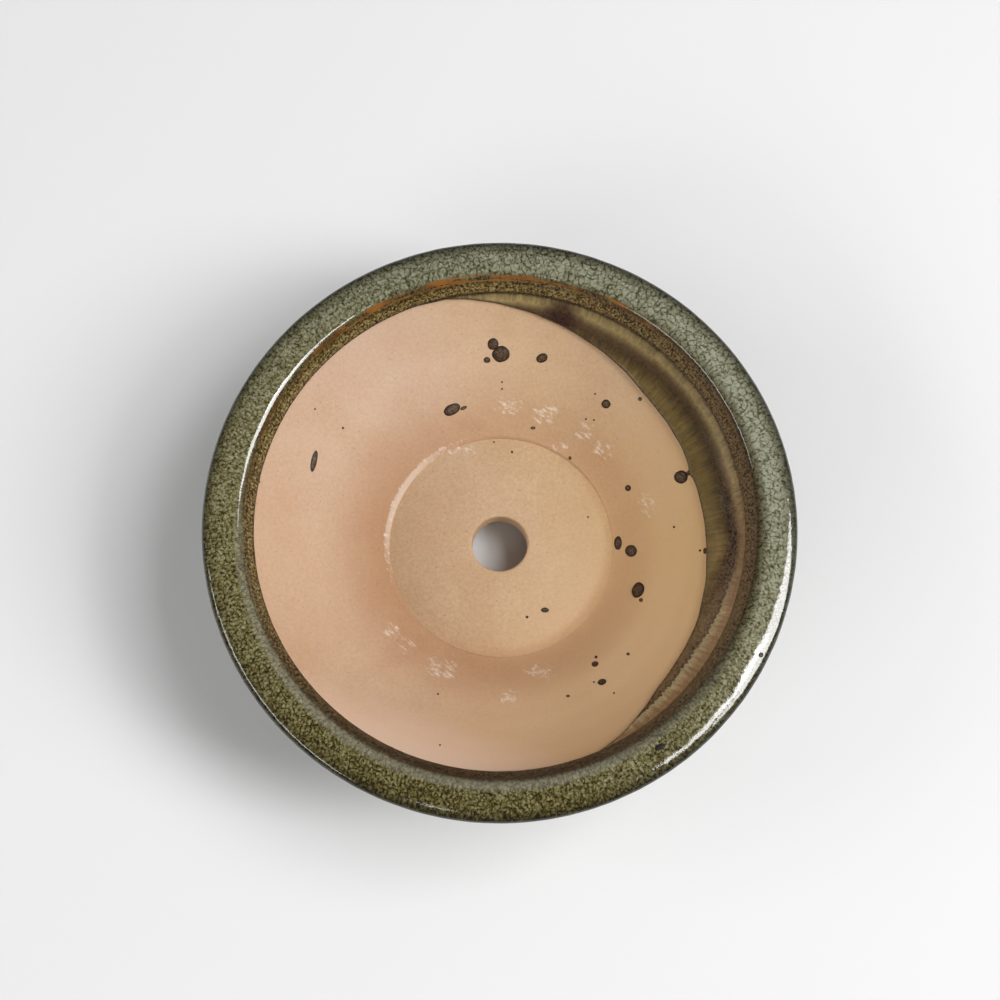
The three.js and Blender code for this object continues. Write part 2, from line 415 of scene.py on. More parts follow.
    # It lies in threads that follow the rim
    alongRim = add("Mapping", {"Scale": (0.04, 0.04, 1)}, {"Vector": drawn})
    threads = add("TexNoise", {"Scale": perMetre(0.6), "Detail": 3}, {"Vector": alongRim})
    threadMask = add("MapRange", {"From Min": 0.42, "From Max": 0.58}, {"Value": threads})
    amberFade = add(
        "MapRange", {"From Min": -80 * mm, "From Max": 20 * mm, "To Min": 0.3, "To Max": 0.95},
        {"Value": place.outputs["Y"]})
    amberBroken = add("Math", {"operation": "MULTIPLY"}, {"Value": amberMask, "Value_001": threadMask})
    amberShare = add("Math", {"operation": "MULTIPLY"}, {"Value": amberBroken, "Value_001": amberFade})
    orangeWay = add(
        "VectorMath", {"operation": "DOT_PRODUCT", "Vector_001": (-0.8, 5.6, 0)}, {"Vector": spot})
    amberMix = add("Math", {"operation": "ADD"}, {"Value": breaks, "Value_001": orangeWay})
    amberTone = add("ValToRGB", {}, {"Fac": amberMix})
    fillRamp(amberTone.color_ramp, look["ambers"])
    ambered = add("Mix", blended, {"Factor_Float": amberShare, "A_Color": faced, "B_Color": amberTone})
    # The run below the crease, streaked downhill so that its bands end in fingers; its tan band is partly a
    # painted reflection of the clay opposite
    downhill = add("Mapping", {"Scale": (1, 1, 0.12)}, {"Vector": drawn})
    streaks = add("TexNoise", {"Scale": perMetre(1.5), "Detail": 4, "Roughness": 0.6}, {"Vector": downhill})
    fingers = add("MapRange", {"From Max": 0.6, "To Max": look["fingers"]}, {"Value": flow})
    fingerPlace = add("Math", {"operation": "SUBTRACT", "Value_001": 0.5}, {"Value": streaks})
    flowPlace = add(
        "Math", {"operation": "MULTIPLY_ADD"},
        {"Value": fingerPlace, "Value_001": fingers, "Value_002": flow})
    flowShare = add("MapRange", {"From Max": look["flowEnd"]}, {"Value": flowPlace})
    flowRamps = []
    for flowColours in look["flows"]:
        flowRamp = add("ValToRGB", {}, {"Fac": flowShare})
        fillRamp(flowRamp.color_ramp, [(p / look["flowEnd"], c) for p, c in flowColours])
        flowRamps.append(flowRamp)
    flowColour = flowRamps[0]
    for flowRamp, (low, high) in zip(flowRamps[1:], look["flowTurns"]):
        turning = add(
            "MapRange", {"From Min": low * mm, "From Max": high * mm}, {"Value": place.outputs["Y"]})
        turned = add("Mix", blended, {"Factor_Float": turning, "A_Color": flowColour, "B_Color": flowRamp})
        flowColour = turned
    flowGrain = add(
        "MapRange", {"From Min": 0.3, "From Max": 0.7, "To Min": 0.72, "To Max": 1.2}, {"Value": streaks})
    streaked = add("Mix", multiplied | {"Factor_Float": 1.0}, {"A_Color": flowColour, "B_Color": flowGrain})
    flowSpeck = add("MapRange", {"To Min": 0.82, "To Max": 1.15}, {"Value": mottleTone})
    speckled = add("Mix", multiplied | {"Factor_Float": 1.0}, {"A_Color": streaked, "B_Color": flowSpeck})
    blobFar = add(
        "VectorMath", {"operation": "DISTANCE", "Vector_001": look["blobPlace"]}, {"Vector": spot})
    blobMask = add(
        "MapRange", {"From Min": 3 * mm, "From Max": 9 * mm, "To Min": 0.85, "To Max": 0.0},
        {"Value": blobFar})
    pooled = add(
        "Mix", blended | {"B_Color": hexColour(look["blob"])},
        {"Factor_Float": blobMask, "A_Color": speckled})
    belowCrease = add("MapRange", {"From Max": 0.04}, {"Value": flow})
    running = add("Mix", blended, {"Factor_Float": belowCrease, "A_Color": ambered, "B_Color": pooled})
    # Brown line where the coat ends
    brinkMask = add(
        "MapRange",
        {"From Min": 0.5, "From Max": 1.6, "To Min": 0.92, "To Max": 0.0,
         "interpolation_type": "SMOOTHSTEP"},
        {"Value": brink})
    finished = add(
        "Mix", blended | {"B_Color": hexColour(look["brink"])},
        {"Factor_Float": brinkMask, "A_Color": running})
    dulled = add(
        "MapRange", {"From Min": 0.4, "From Max": 1.8, "To Min": 0.45, "To Max": look["roughness"]},
        {"Value": brink})
    # The wavy melt, with the crazing sunk in it
    melt = add("TexNoise", {"Scale": perMetre(3.2), "Detail": 3}, {"Vector": spot})
    meltBump = add("Bump", {"Strength": 0.22, "Distance": 0.3 * mm}, {"Height": melt})
    crazeBump = add(
        "Bump", {"Strength": 0.12, "Distance": 0.1 * mm}, {"Height": islandTone, "Normal": meltBump})
    linkInto(shader, {
        "Base Color": finished, "Roughness": dulled, "Specular IOR Level": glared, "Normal": crazeBump})
    return material


# Glaze spatter: thick beads of the same melt, nearly black round the rim and brown towards the top, that
# brown partly a painted sheen
def beadedGlaze(name, look):
    material, shader = newMaterial(name, look["roughness"], ior=1.35)
    add = partial(addNode, material.node_tree)
    rise = add("Attribute", {"attribute_name": "rise"}).outputs["Fac"]
    spot = add("TexCoord", {}).outputs["Object"]
    mottle = add("TexNoise", {"Scale": perMetre(0.8), "Detail": 3}, {"Vector": spot})
    # lighter towards each bead's top: the melt's own brown with a painted sheen over it
    tone = add("Math", {"operation": "MULTIPLY"}, {"Value": rise, "Value_001": mottle})
    toneRamp = add("ValToRGB", {}, {"Fac": tone})
    fillRamp(toneRamp.color_ramp, look["tones"])
    linkInto(shader, {"Base Color": toneRamp})
    return material


# The fire's marks, and the painted light and shade among them, are the same on every piece of clay
fired = {
    "flash": "#e3d0ba", "blush": "#fff6ea", "ochre": "#fffbe9", "paintedLightUnderLip": "#e4c4ac",
    "cloudPlaces": (0.3, 0.45, 0.58, 0.72),
}
wallClay = bisqueStoneware("bisque_stoneware_wall", fired | {
    "roughness": 0.88, "bump": 0.3, "grain": 0.09,
    "speck": "#8a6a50", "scuff": "#f0e4d6", "toastAndPaintedLight": "#debb90",
    "clouds": ["#c3a388", "#c5a78f", "#c7ab93", "#c3a48b"],
})
slabClay = bisqueStoneware("bisque_stoneware_slab", fired | {
    "roughness": 0.9, "bump": 0.5, "grain": 0.13,
    "speck": "#7d5f45", "scuff": "#efe2d2", "toastAndPaintedLight": "#d6b68d",
    "clouds": ["#bd9b7b", "#bfa080", "#c2a485", "#bd9d7d"],
})
footClay = bisqueStoneware("bisque_stoneware_foot", fired | {
    "roughness": 0.9, "bump": 0.5, "grain": 0.12,
    "speck": "#80614a", "scuff": "#efe2d2", "toastAndPaintedLight": "#c4a07c",
    "clouds": ["#b68d70", "#ba9577", "#be9a7d", "#b79175"],
})
outsideTints = [(-82, "#a5a18c"), (-34, "#b5b19b"), (-19, "#8d8a78")]
greenGlaze = crackledGlaze("crackled_green_glaze", {
    "roughness": 0.07, "mottle": 0.9, "closeCell": 1.5, "openCell": 2.2, "brink": "#24150b",
    "cells": [
        (0.0, "#251d07"), (0.25, "#423814"), (0.5, "#60572f"), (0.75, "#7e7853"), (1.0, "#999879"),
    ],
    "coolCells": [
        (0.0, "#232414"), (0.25, "#42412e"), (0.5, "#61604a"), (0.75, "#7e7e69"), (1.0, "#9a9b86"),
    ],
    "tone": 0.02, "contrast": 1.12, "paleSheenWay": (0.9, 1.23, 0), "deepWay": -18.0,
    "sectionStart": -82.0, "sectionEnd": 6.0,
    "tints": [
        *outsideTints, (-13.6, "#55534a"), (-12.2, "#b4b2a6"), (-10.4, "#e8e6dc"), (-8, "#ffffff"),
        (-2.8, "#f8f6ee"), (-1.6, "#cfc9b8"), (-0.8, "#ab9f82"), (1.3, "#a09070"), (2.2, "#dacca8"),
        (4.8, "#cdbb96"), (5.6, "#4a4234"),
    ],
    "brownTints": [
        *outsideTints, (-13.6, "#4c4a40"), (-12.2, "#acaaa0"), (-10.4, "#e8e6dc"), (-8, "#ffffff"),
        (-4.2, "#ffffff"), (-3.2, "#c8c6bc"), (-2.2, "#b4aa94"), (-1.2, "#8c7c62"), (0.5, "#78684c"),
        (1.7, "#7c6c50"), (4.8, "#7a684a"), (5.6, "#4a4234"),
    ],
    # colour of the painted sheen just outside the arris
    "paintedSheen": "#96917c",
    "ambers": [(0.35, "#33200f"), (0.6, "#463015"), (0.85, "#5c3a18"), (1.0, "#8c5a22")],
    "flowEnd": 4.0, "fingers": 0.8,
    "flowTurns": [(-32, -14), (-5, 20)],
    "flows": [
        [
            (0.0, "#8c6e4c"), (0.4, "#987852"), (0.62, "#a48e68"), (0.92, "#ab9c74"), (1.0, "#54422a"),
            (1.08, "#3a2b16"), (1.2, "#644d2b"), (4.0, "#644d2b"),
        ],
        [
            (0.0, "#7c6442"), (0.6, "#765f3e"), (0.85, "#5a452a"), (1.0, "#33230f"), (1.2, "#1d1106"),
            (1.7, "#261808"), (2.1, "#4a391c"), (3.2, "#8a7346"), (4.0, "#806a40"),
        ],
        [
            (0.0, "#2c2010"), (0.07, "#3a2c16"), (0.24, "#86744a"), (0.65, "#9c885a"), (0.85, "#7c6842"),
            (1.1, "#5a452a"), (1.5, "#4a371c"), (1.9, "#584622"), (2.5, "#746032"), (4.0, "#6a562a"),
        ],
    ],
    "blob": "#2c0d04", "blobPlace": (0.022, 0.077, 0.046),
})
beadGlaze = beadedGlaze("beaded_brown_glaze", {
    "roughness": 0.6, "tones": [(0.05, "#150c06"), (0.25, "#291b11"), (0.42, "#463423"), (0.6, "#66523c")],
})
print("materials made:", [m.name for m in bpy.data.materials])


# Shared steps of the modelling
def chainOf(bm, outline, closed=True):
    verts = [bm.verts.new(point) for point in outline]
    follow = verts[1:] + verts[:1] if closed else verts[1:]
    edges = [bm.edges.new(pair) for pair in zip(verts, follow)]
    return verts, edges


def spinRound(bm, chain, steps):
    bmesh.ops.spin(
        bm, geom=chain[0] + chain[1], axis=(0, 0, 1), angle=math.tau, steps=steps, use_merge=True)
    bmesh.ops.recalc_face_normals(bm, faces=bm.faces)


def finishPiece(name, bm, material, nodes=()):
    mesh = bpy.data.meshes.new(name)
    bm.to_mesh(mesh)
    bm.free()
    mesh.materials.append(material)
    mesh.shade_smooth()
    mesh.set_sharp_from_angle(angle=math.radians(50))
    piece = bpy.data.objects.new(name, mesh)
    bpy.context.scene.collection.objects.link(piece)
    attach(piece, "root")
    if nodes:
        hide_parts(*nodes)
    print("made", name, len(mesh.polygons), "faces")


# Pale rubbed places on the inside, as boxes in the picture: left, top, right, bottom
scuffs = {
    "boxes": [
        (488, 394, 532, 418), (524, 400, 566, 428), (572, 416, 598, 446), (590, 436, 616, 462),
        (634, 490, 660, 520), (380, 618, 406, 644), (394, 632, 420, 656), (420, 652, 462, 684),
        (518, 660, 560, 682), (494, 686, 526, 710), (434, 442, 486, 458), (546, 438, 572, 454),
    ],
    "core": 0.35,  # share of a box that is rubbed most
}


def scuffAt(point):
    x, y = pixelOf(point)
    strongest = 0
    for left, top, right, bottom in scuffs["boxes"]:
        far = math.hypot((2 * x - left - right) / (right - left), (2 * y - top - bottom) / (bottom - top))
        strongest = max(strongest, 1 - smoothStep(far - scuffs["core"]))
    return strongest


# Bowl wall: thrown clay, its foot proud of the slab at -X and falling into a valley at +X and -Y
wall = {
    "steps": 320,
    "insideRows": 64,
    "outsideRows": 26,
    "noseRows": 7,
    "roundRows": 5,
    "noseReach": 1.8,  # mm, the rounded foot of the inside, out over the slab
    "noseDrop": 2.4,
    "noseRough": 0.09,
    "noseGrit": 1.6,  # mm across its crumbs
    "chalkAngle": 154.0,  # degrees, the middle of the rubbed arc of the nose
    "chalkSpread": 9.0,
    "chalkFade": 56.0,
    "chalkHeight": 0.5,  # mm
    "flashShadeReach": 27.0,  # mm from the seam, the orange the fire left there, darkened as painted shade in the seam's valley
    "flashShadeLevel": 0.8,
    "flashShadeLean": 0.2,  # more of it at -X than at +X
    "ringHeight": 0.05,  # throwing marks
    "ringSpacing": 5.5,
    "unevenness": 0.16,
    "lumpSize": 22.0,
    "valleyDepth": 3.4,
    "valleyReach": 4.6,  # mm of height
    "valleyAngle": -35.0,
}


def seamDrop(angle):
    return 0.5 + 0.5 * math.cos(angle - math.radians(wall["valleyAngle"]))


def angleGap(angle, degrees):
    return abs((math.degrees(angle) - degrees + 180) % 360 - 180)


def makeWall():
    bm = bmesh.new()
    inner = bm.verts.layers.float.new("inner")  # 1 on the inside face
    scuff = bm.verts.layers.float.new("scuff")
    flash = bm.verts.layers.float.new("flash")
    flat = baseEdge + across(-clay["baseRound"], 0)
    firstShare = clay["baseRound"] / outsideLength
    roundEnd = parabolaAt(outsideEnds, firstShare)[0]
    outline = [seamBottom] + rowsOf(parabolaAt, (flat, baseEdge, roundEnd), wall["roundRows"])
    outline += rowsOf(parabolaAt, outsideEnds, wall["outsideRows"], firstShare)[1:]
    outsideCount = len(outline)
    outline += rowsOf(parabolaAt, insideEnds, wall["insideRows"])
    noseReach = wall["noseReach"]
    noseTip = seamTop + across(-noseReach, -wall["noseDrop"])
    noseEnds = (seamTop, seamTop + across(-noseReach / 2, 0), noseTip)
    outline += rowsOf(parabolaAt, noseEnds, wall["noseRows"])[1:]
    chain = chainOf(bm, outline)
    for vert in chain[0][outsideCount:]:
        vert[inner] = 1
    spinRound(bm, chain, wall["steps"])
    for vert in bm.verts:
        if vert[inner] < 0.5:
            continue
        angle = math.atan2(vert.co.y, vert.co.x)
        seamFar = (vert.co.z - seamTop.z) / mm
        ring = math.sin(math.tau * seamFar / wall["ringSpacing"] + angle) * wall["ringHeight"]
        lump = noise.noise(vert.co * perMetre(wall["lumpSize"])) * wall["unevenness"]
        fall = math.exp(-(max(seamFar, 0) / wall["valleyReach"]) ** 2)
        crumb = noise.noise(vert.co * perMetre(wall["noseGrit"]))
        rough = crumb * wall["noseRough"] * math.exp(-abs(seamFar))
        drop = seamDrop(angle) * wall["valleyDepth"] * fall
        chalkFar = angleGap(angle, wall["chalkAngle"]) - wall["chalkSpread"]
        chalk = 1 - smoothStep(chalkFar / wall["chalkFade"])
        seamOut = (math.hypot(vert.co.x, vert.co.y) - slabRadius) / mm
        flashedAndShaded = wall["flashShadeLevel"] - wall["flashShadeLean"] * math.cos(angle)
        vert[flash] = flashedAndShaded * (1 - smoothStep(seamOut / wall["flashShadeReach"]))
        vert[scuff] = max(scuffAt(vert.co), 2 * chalk * (1 - smoothStep(seamFar / wall["chalkHeight"])))
        vert.co.z += (ring + lump * (1 - fall) + rough - drop) * mm
    tree = BVHTree.FromBMesh(bm)
    finishPiece("bowl_wall_clay", bm, wallClay, ["bowl_wall"])
    return tree


# Lip: a rolled coil, all of it under the glaze
lip = {"steps": 128, "rows": 12}


def makeLip():
    bm = bmesh.new()
    outline = rowsOf(quarterAt, underEnds, lip["rows"])
    outline += rowsOf(quarterAt, shoulderEnds, lip["rows"])[1:]
    outline += rowsOf(parabolaAt, crownEnds, lip["rows"])[1:]
    outline += rowsOf(straightAt, faceEnds, lip["rows"] // 2)[1:]
    spinRound(bm, chainOf(bm, outline), lip["steps"])
    finishPiece("lip_clay", bm, wallClay, ["lip_ring"])


# Floor slab: a low dome with one drain hole, its edge under the wall's nose and sunk at +X and -Y
slab = {
    "steps": 256,
    "domeRows": 44,
    "drainRadius": 10.0,
    "drainRound": 1.0,
    "drainBevel": 0.5,  # of its lower edge
    "roundRows": 5,
    "throatRows": 8,
    "reach": 2.6,  # mm past the seam, under the wall's foot
    "edgeDrop": 1.2,
    "topDepth": 2.5,  # what lies above this is the slab's face
    "sinkDepth": 1.5,
    "sinkReach": 9.0,
    "flashShadeReach": 4.5,  # mm of the edge where it sinks, flashed orange by the fire and darkened as painted shade in that valley
    "flashShadeLevel": 0.6,
    "unevenness": 0.14,
    "lumpSize": 13.0,
}


def makeSlab():
    bm = bmesh.new()
    scuff = bm.verts.layers.float.new("scuff")
    flash = bm.verts.layers.float.new("flash")
    drain = slab["drainRadius"]
    edge = slabRadius / mm + slab["reach"]
    top = floorTop / mm
    high = top + clay["floorDome"]
    low = baseHeight / mm
    rim = across(edge, top - slab["edgeDrop"])
    crest = across(drain + slab["drainRound"], high)
    throat = across(drain, high - slab["drainRound"])
    outline = [across(drain + slab["drainBevel"], low), across(slabRadius / mm - clay["seamBevel"], low)]
    outline += rowsOf(parabolaAt, (rim, across((edge + drain) / 2, high), crest), slab["domeRows"])
    outline += rowsOf(parabolaAt, (crest, across(drain, high), throat), slab["roundRows"])[1:]
    outline += rowsOf(straightAt, (throat, across(drain, low + slab["drainBevel"])), slab["throatRows"])[1:]
    spinRound(bm, chainOf(bm, outline), slab["steps"])
    for vert in bm.verts:
        if vert.co.z > floorTop - slab["topDepth"] * mm:
            out = math.hypot(vert.co.x, vert.co.y)
            sunk = smoothStep((out - slabRadius) / (slab["sinkReach"] * mm) + 1)
            sinking = seamDrop(math.atan2(vert.co.y, vert.co.x))
            drop = sunk * slab["sinkDepth"] * sinking
            flashedAndShaded = smoothStep((out - slabRadius) / (slab["flashShadeReach"] * mm) + 1)
            vert[flash] = slab["flashShadeLevel"] * sinking ** 2 * flashedAndShaded
            vert[scuff] = scuffAt(vert.co)
            lump = noise.noise(vert.co * perMetre(slab["lumpSize"])) * slab["unevenness"]
            vert.co.z += (lump - drop) * mm
    tree = BVHTree.FromBMesh(bm)
    finishPiece("floor_slab_clay", bm, slabClay, ["floor_slab"])
    return tree


# Feet: curved pads luted under the base ring
foot = {
    "count": 3,
    "inset": 1.2,  # mm back from the edge of the base
    "width": 12.0,
    "length": 30.0,
    "edgeRound": 1.2,
    "roundRows": 4,
    "cornerAngle": 60.0,  # degrees, edges sharper than this are rounded
    "firstAngle": -90.0,
    "steps": 14,
}


def makeFoot(number):
    bm = bmesh.new()
    outer = clay["baseRadius"] - foot["inset"]
    inner = outer - foot["width"]
    top = baseHeight / mm
    outline = [across(inner, 0), across(outer, 0), across(outer, top), across(inner, top)]
    chain = chainOf(bm, outline)
    sweepAngle = foot["length"] / ((outer + inner) / 2)
    bmesh.ops.spin(
        bm, geom=chain[0] + chain[1], axis=(0, 0, 1), angle=sweepAngle, steps=foot["steps"],
        use_merge=False)
    bmesh.ops.holes_fill(bm, edges=[e for e in bm.edges if e.is_boundary], sides=4)
    bmesh.ops.recalc_face_normals(bm, faces=bm.faces)
    corners = [e for e in bm.edges if e.calc_face_angle(0) > math.radians(foot["cornerAngle"])]
    bmesh.ops.bevel(
        bm, geom=corners, offset=foot["edgeRound"] * mm, offset_type="OFFSET", segments=foot["roundRows"],
        profile=0.5, affect="EDGES", material=-1)
    middle = math.radians(foot["firstAngle"] + 360 * number / foot["count"])
    bmesh.ops.rotate(
        bm, verts=bm.verts, cent=(0, 0, 0), matrix=Matrix.Rotation(middle - sweepAngle / 2, 3, "Z"))
    node = f"foot_{number + 1}"
    finishPiece(f"{node}_clay", bm, footClay, [node])


# Glaze coat: over the outside, the lip and the inside down to the slanted line of the dip
glaze = {
    "steps": 512,
    "thickness": 1.1,  # mm
    "sink": 0.1,  # its underside lies this far in the clay
    "edgeRound": 0.9,
    "ripple": 0.07,
    "rippleSize": 5.0,
    "rippleRadius": 95.0,  # mm, where the ripple has that size
    "arrisThin": 0.25,  # mm less on the arris
    "arrisReach": 1.5,
    "creaseRound": 1.4,
    "bareBand": 4.0,  # unglazed strip above the base
    "bandWave": 1.3,
    "dipLevel": 51.5,
    "dipTilt": 12.2,  # degrees
    "dipAzimuth": 18.0,
    "dipWave": 0.35,
    "leastReach": 0.4,  # how far it laps past the crease where the dip was shallow
    "brinkCrowding": 1.8,  # above 1 crowds the inside's rows at its edge
    "drawnRadius": 94.0,  # mm, where its crazing and streaks have their true size
    # lobes of the glaze line: angle, reach in mm, width in degrees, 1 for a pointed lobe, 2 for a round one
    "lobes": [(17.8, 1.3, 1.3, 1), (103, 0.9, 7, 2), (-45, 3.2, 13, 2), (43, 0.9, 8, 2)],
    "tanAndReflectionReach": 5.6,  # mm of tan run below the crease, partly a painted reflection of the clay opposite
    "tanAndReflectionLobes": [(-5, -1.9, 9, 2), (-38, 2.4, 12, 2), (58, 0.9, 14, 2)],  # as the lobes above
}
neckStart, neckStop = 0.93, 0.3  # shares of the outside and of the lip's underside
neckFrom = parabolaAt(outsideEnds, neckStart)[0]
neckTo = quarterAt(underEnds, neckStop)[0]
# zone, curve, its ends, rows on the face, rows on the underside
zones = [
    ("outside", parabolaAt, outsideEnds, 34, 6),
    ("neck", parabolaAt, (neckFrom, neck, neckTo), 8, 3),
    ("under", quarterAt, underEnds, 12, 4),
    ("shoulder", quarterAt, shoulderEnds, 22, 6),
    ("crown", parabolaAt, crownEnds, 14, 4),
    ("face", straightAt, faceEnds, 10, 2),
    ("inside", parabolaAt, insideEnds, 34, 8),
]
zoneSpans = {"outside": (0.0, neckStart), "under": (neckStop, 1.0)}
arcRows = 40
zoneArcs = []
for zoneFacts in zones:
    zoneName, zoneCurve, zoneEnds = zoneFacts[:3]
    first, last = zoneSpans.get(zoneName, (0.0, 1.0))
    zoneRows = rowsOf(zoneCurve, zoneEnds, arcRows, first, last)
    zoneArcs.append([lengthOf(zoneRows[:i + 1]) for i in range(arcRows + 1)])
zoneLengths = [arcs[-1] for arcs in zoneArcs]
arrisStart = sum(zoneLengths[:5])  # from the base edge round to the arris
faceLength = zoneLengths[5]
farFromEdge = 99.0  # mm, for rows that no edge of the coat is near


def arcAt(zone, share):
    row = min(int(share * arcRows), arcRows - 1)
    arcs = zoneArcs[zone]
    return arcs[row] + (arcs[row + 1] - arcs[row]) * (share * arcRows - row)


def ringNoise(angle, width, seed):
    radius = 90  # mm, about where the glaze lines run
    return noise.noise(onRing(radius / width, angle, seed))


def lobesAt(lobes, angle):
    return sum(
        more * math.exp(-(angleGap(angle, middle) / width) ** power)
        for middle, more, width, power in lobes)


def dipShare(angle):
    slope = math.tan(math.radians(glaze["dipTilt"])) * math.cos(angle - math.radians(glaze["dipAzimuth"]))
    level = glaze["dipLevel"] * mm
    over = [p.z + slope * p.x - level for p in insideEnds]
    square = over[0] - 2 * over[1] + over[2]
    middle = over[1] - over[0]
    root = math.sqrt(max(middle * middle - square * over[0], 0))
    share = over[0] / (root - middle)
    reach = max(share, 0) * insideLength + glaze["leastReach"]
    reach += glaze["dipWave"] * ringNoise(angle, width=9, seed=3)
    return (reach + lobesAt(glaze["lobes"], angle)) / insideLength


def bandShare(angle):
    band = glaze["bareBand"] + glaze["bandWave"] * ringNoise(angle, width=14, seed=8)
    return band / outsideLength


def coatSpot(zone, share, angle):
    name, curve, ends = zones[zone][:3]
    first, last = zoneSpans.get(name, (0.0, 1.0))
    brink = farFromEdge
    if name == "outside":
        first = bandShare(angle)
        brink = share * (last - first) * outsideLength
    if name == "inside":
        last = dipShare(angle)
        brink = (1 - share) * last * insideLength
    point, direction = curve(ends, first + (last - first) * share)
    along = sum(zoneLengths[:zone]) - arrisStart + arcAt(zone, share)
    if name == "inside":
        along = faceLength + share * last * insideLength
    normal = rightOf(direction)
    if name in ("face", "inside"):
        turn = smoothStep((along - faceLength) / glaze["creaseRound"] + 0.5)
        normal = rightOf(faceEnds[1] - faceEnds[0]).lerp(
            rightOf(insideEnds[1] - insideEnds[0]) if name == "face" else normal, turn).normalized()
    return point, normal, along, brink


def makeGlaze():
    bm = bmesh.new()
    zoneTag = bm.verts.layers.int.new("zoneTag")
    shareTag = bm.verts.layers.float.new("shareTag")
    faceTag = bm.verts.layers.int.new("faceTag")
    alongTag = bm.verts.layers.float.new("along")
    brinkTag = bm.verts.layers.float.new("brink")
    flowTag = bm.verts.layers.float.new("flow")
    drawnTag = bm.verts.layers.float_vector.new("drawn")
    tags = []
    for zone, facts in enumerate(zones):
        name, rows = facts[0], facts[3]
        first = 0 if zone == 0 else 1
        for i in range(first, rows + 1):
            even = i / rows
            tags.append((zone, 1 - (1 - even) ** glaze["brinkCrowding"] if name == "inside" else even, 1))
    for zone in reversed(range(len(zones))):
        rows = zones[zone][4]
        last = 0 if zone == 0 else 1
        for i in range(rows, last - 1, -1):
            tags.append((zone, i / rows, 0))
    outline = []
    for zone, share, face in tags:
        point, normal = coatSpot(zone, share, 0)[:2]
        outline.append(point + normal * (mm if face else -mm))
    chain = chainOf(bm, outline)
    for vert, (zone, share, face) in zip(chain[0], tags):
        vert[zoneTag] = zone
        vert[shareTag] = share
        vert[faceTag] = face
    spinRound(bm, chain, glaze["steps"])
    for vert in bm.verts:
        angle = math.atan2(vert.co.y, vert.co.x)
        point, normal, along, brink = coatSpot(vert[zoneTag], vert[shareTag], angle)
        away = -glaze["sink"]
        if vert[faceTag]:
            swell = noise.noise(onRing(glaze["rippleRadius"], angle, along) / glaze["rippleSize"])
            thick = glaze["thickness"] + glaze["ripple"] * swell
            thick -= glaze["arrisThin"] * math.exp(-(along / glaze["arrisReach"]) ** 2)
            near = 1 - min(brink / glaze["edgeRound"], 1)
            away = thick * math.sqrt(1 - near * near)
        spot = point + normal * (away * mm)
        vert.co = onRing(spot.x, angle, spot.z)
        vert[alongTag] = along
        vert[brinkTag] = brink
        tanAndReflectionEdge = glaze["tanAndReflectionReach"] + lobesAt(glaze["tanAndReflectionLobes"], angle)
        vert[flowTag] = max((along - faceLength) / tanAndReflectionEdge, 0)
        vert[drawnTag] = onRing(glaze["drawnRadius"], angle, along) * mm
    bmesh.ops.recalc_face_normals(bm, faces=bm.faces)
    tree = BVHTree.FromBMesh(bm)
    finishPiece("glaze_coat_green", bm, greenGlaze, ["glaze_coat"])
    return tree


wallTree = makeWall()
makeLip()
slabTree = makeSlab()
for footNumber in range(foot["count"]):
    makeFoot(footNumber)
glazeTree = makeGlaze()


# Glaze spatter, drops at the ends of drips and a dark pit in the coat: x, y, width and height in the
# picture's pixels, turned by degrees
spatter = {
    "rise": 0.22,  # height as a share of the smaller half-width
    "bluntness": 0.8,  # below 1 gives a fuller dome
    "rootWidth": 0.96,  # shares of the half-width and of the height that are sunk in the surface
    "rootDepth": 0.35,
    "wobble": 0.07,
    "wobbleScale": 1.5,
    "spots": [
        (314, 461, 6, 23, 12), (452, 409.5, 18, 11, -28), (463.5, 408, 7, 3.6, -25), (493, 344, 11, 12, 0),
        (501, 354, 18, 16, -15), (487, 360, 7, 6, 0), (542, 358, 12, 9, -25), (606, 404, 9, 9, 0),
        (640, 399, 4, 4, 0), (628, 488, 6, 6, 0), (618, 543, 8, 14, 0), (631, 551, 12, 12, 0),
        (638, 590, 12, 16, 22), (641, 600, 4, 4, 0), (602, 682, 9, 6, -15), (595, 664, 7, 5.5, -15),
        (596, 657, 3, 3, 0), (594, 682, 2, 2, 0), (628, 654, 3.5, 3, 0), (568, 696, 4, 2.5, 0),
        (614, 693, 2, 2, 0), (545, 610, 8, 5, 0), (527, 617, 3, 3, 0), (533, 428, 5, 3, 0),
        (570, 458, 3, 4, 0), (512, 452, 2.5, 2.5, 0), (494, 442, 2, 2, 0), (502, 389, 2, 2, 0),
        (502, 382, 2, 2, 0), (586, 419, 2, 2, 0), (594, 420, 2, 2, 0), (595, 394, 2, 2, 0),
        (343, 428, 2.5, 2.5, 0), (315, 409, 2, 2, 0), (260, 482, 2, 2, 0), (674, 527, 2.4, 2.4, 0),
        (588, 517, 2, 2, 0), (438, 694, 2, 2, 0), (440, 745, 2, 2, 0), (700, 550.5, 2.4, 2.4, 0),
    ],
    "drip": [(681, 477, 14, 13, 0), (688, 473.5, 9, 4.4, -35), (704.5, 551, 5, 6, 0), (761, 655, 5, 5, 0)],
    "pits": [(660, 747, 11, 6, -25)],
    "domeRows": 6,
    "steps": 24,
    "seed": 7,
}


def castPixel(x, y):
    ray = rayThrough(x, y)
    hits = [tree.ray_cast(eye, ray) for tree in (wallTree, slabTree, glazeTree)]
    return min((hit for hit in hits if hit[0]), key=lambda hit: hit[3])


